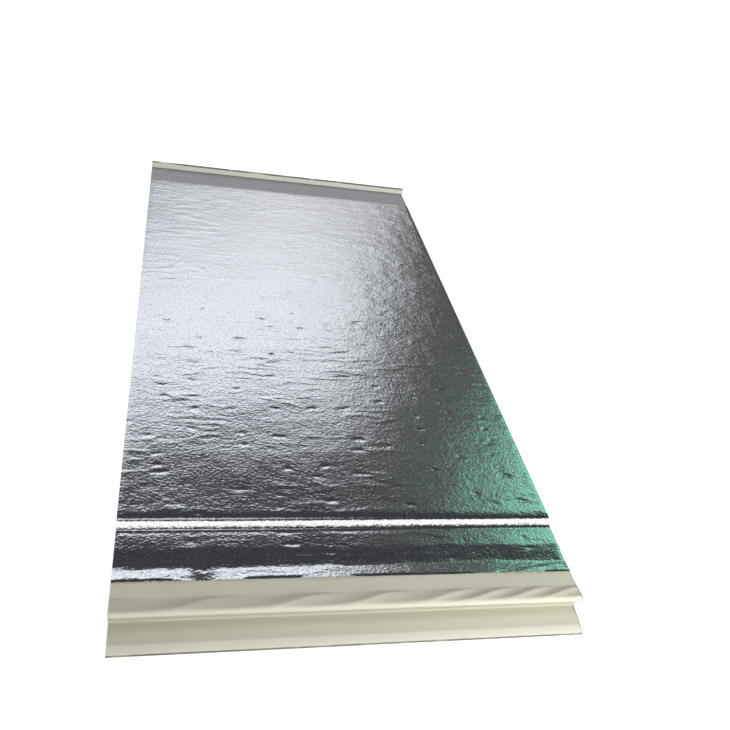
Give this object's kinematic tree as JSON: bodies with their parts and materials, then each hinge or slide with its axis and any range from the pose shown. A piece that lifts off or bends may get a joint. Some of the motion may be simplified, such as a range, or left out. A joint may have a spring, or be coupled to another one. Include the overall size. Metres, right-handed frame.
{
  "type": "insulated wall panel",
  "caption": "Foam-filled steel cladding panel with a foil back, a tongue and fixing lip on one edge and a grooved flange on the other.",
  "frame": {"origin": "middle of the panel's outline, on the plane of the decorative face", "axes": "+X along the joints, +Y from the lip edge across to the flange edge, +Z from the decorative face up to the foil back"},
  "size_m": [0.2, 0.4, 0.021],
  "materials": {
    "painted_steel": "semi-gloss cream coil paint on the outside, grey back coat on the flange",
    "foam": "matt, fine-celled rigid foam, sawn",
    "foil": "bright crinkled foil"
  },
  "bodies": {
    "root": {"face_sheet": "painted_steel", "foam_core": "foam", "backing_foil": "foil"}
  },
  "joints": []
}
